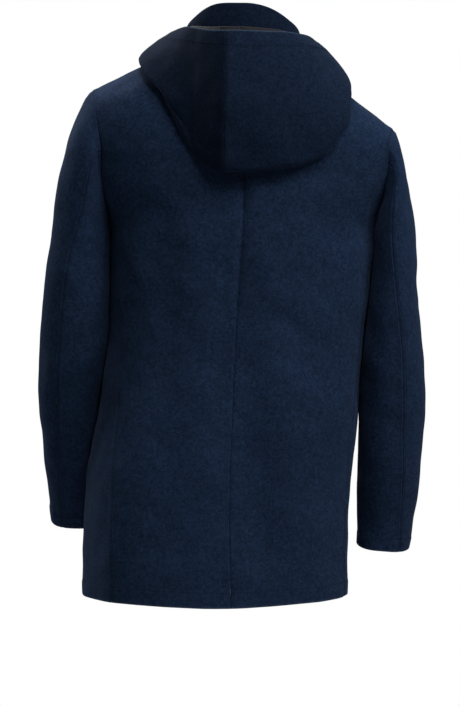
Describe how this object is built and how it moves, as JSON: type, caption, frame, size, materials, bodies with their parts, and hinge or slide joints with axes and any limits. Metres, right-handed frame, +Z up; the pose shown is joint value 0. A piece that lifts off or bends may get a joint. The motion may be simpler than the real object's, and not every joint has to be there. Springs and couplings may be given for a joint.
{
  "type": "stadium coat",
  "caption": "Hip-length hooded wool coat, worn and hollow, hood down on the back, stand collar, buttoned front, two-piece sleeves hanging at the sides.",
  "frame": {"origin": "between the shoulders at the level where the neck meets them, where the wearer carries the coat", "axes": "+Z up, -Y to the coat's front, +X to the wearer's left"},
  "size_m": [0.5818, 0.3073, 0.8864],
  "materials": {
    "melton": "matte, lightly napped",
    "facing": "matte",
    "button": "satin"
  },
  "bodies": {
    "root": {"back_left": "melton", "back_right": "melton", "front_left": "melton", "front_right": "melton", "sleeve_left_upper": "melton", "sleeve_left_under": "melton", "sleeve_right_upper": "melton", "sleeve_right_under": "melton", "collar": "melton", "hood_left": "melton", "hood_right": "melton", "hood_facing": "facing", "button_1": "button", "button_2": "button", "button_3": "button", "button_4": "button", "button_5": "button"}
  },
  "joints": []
}
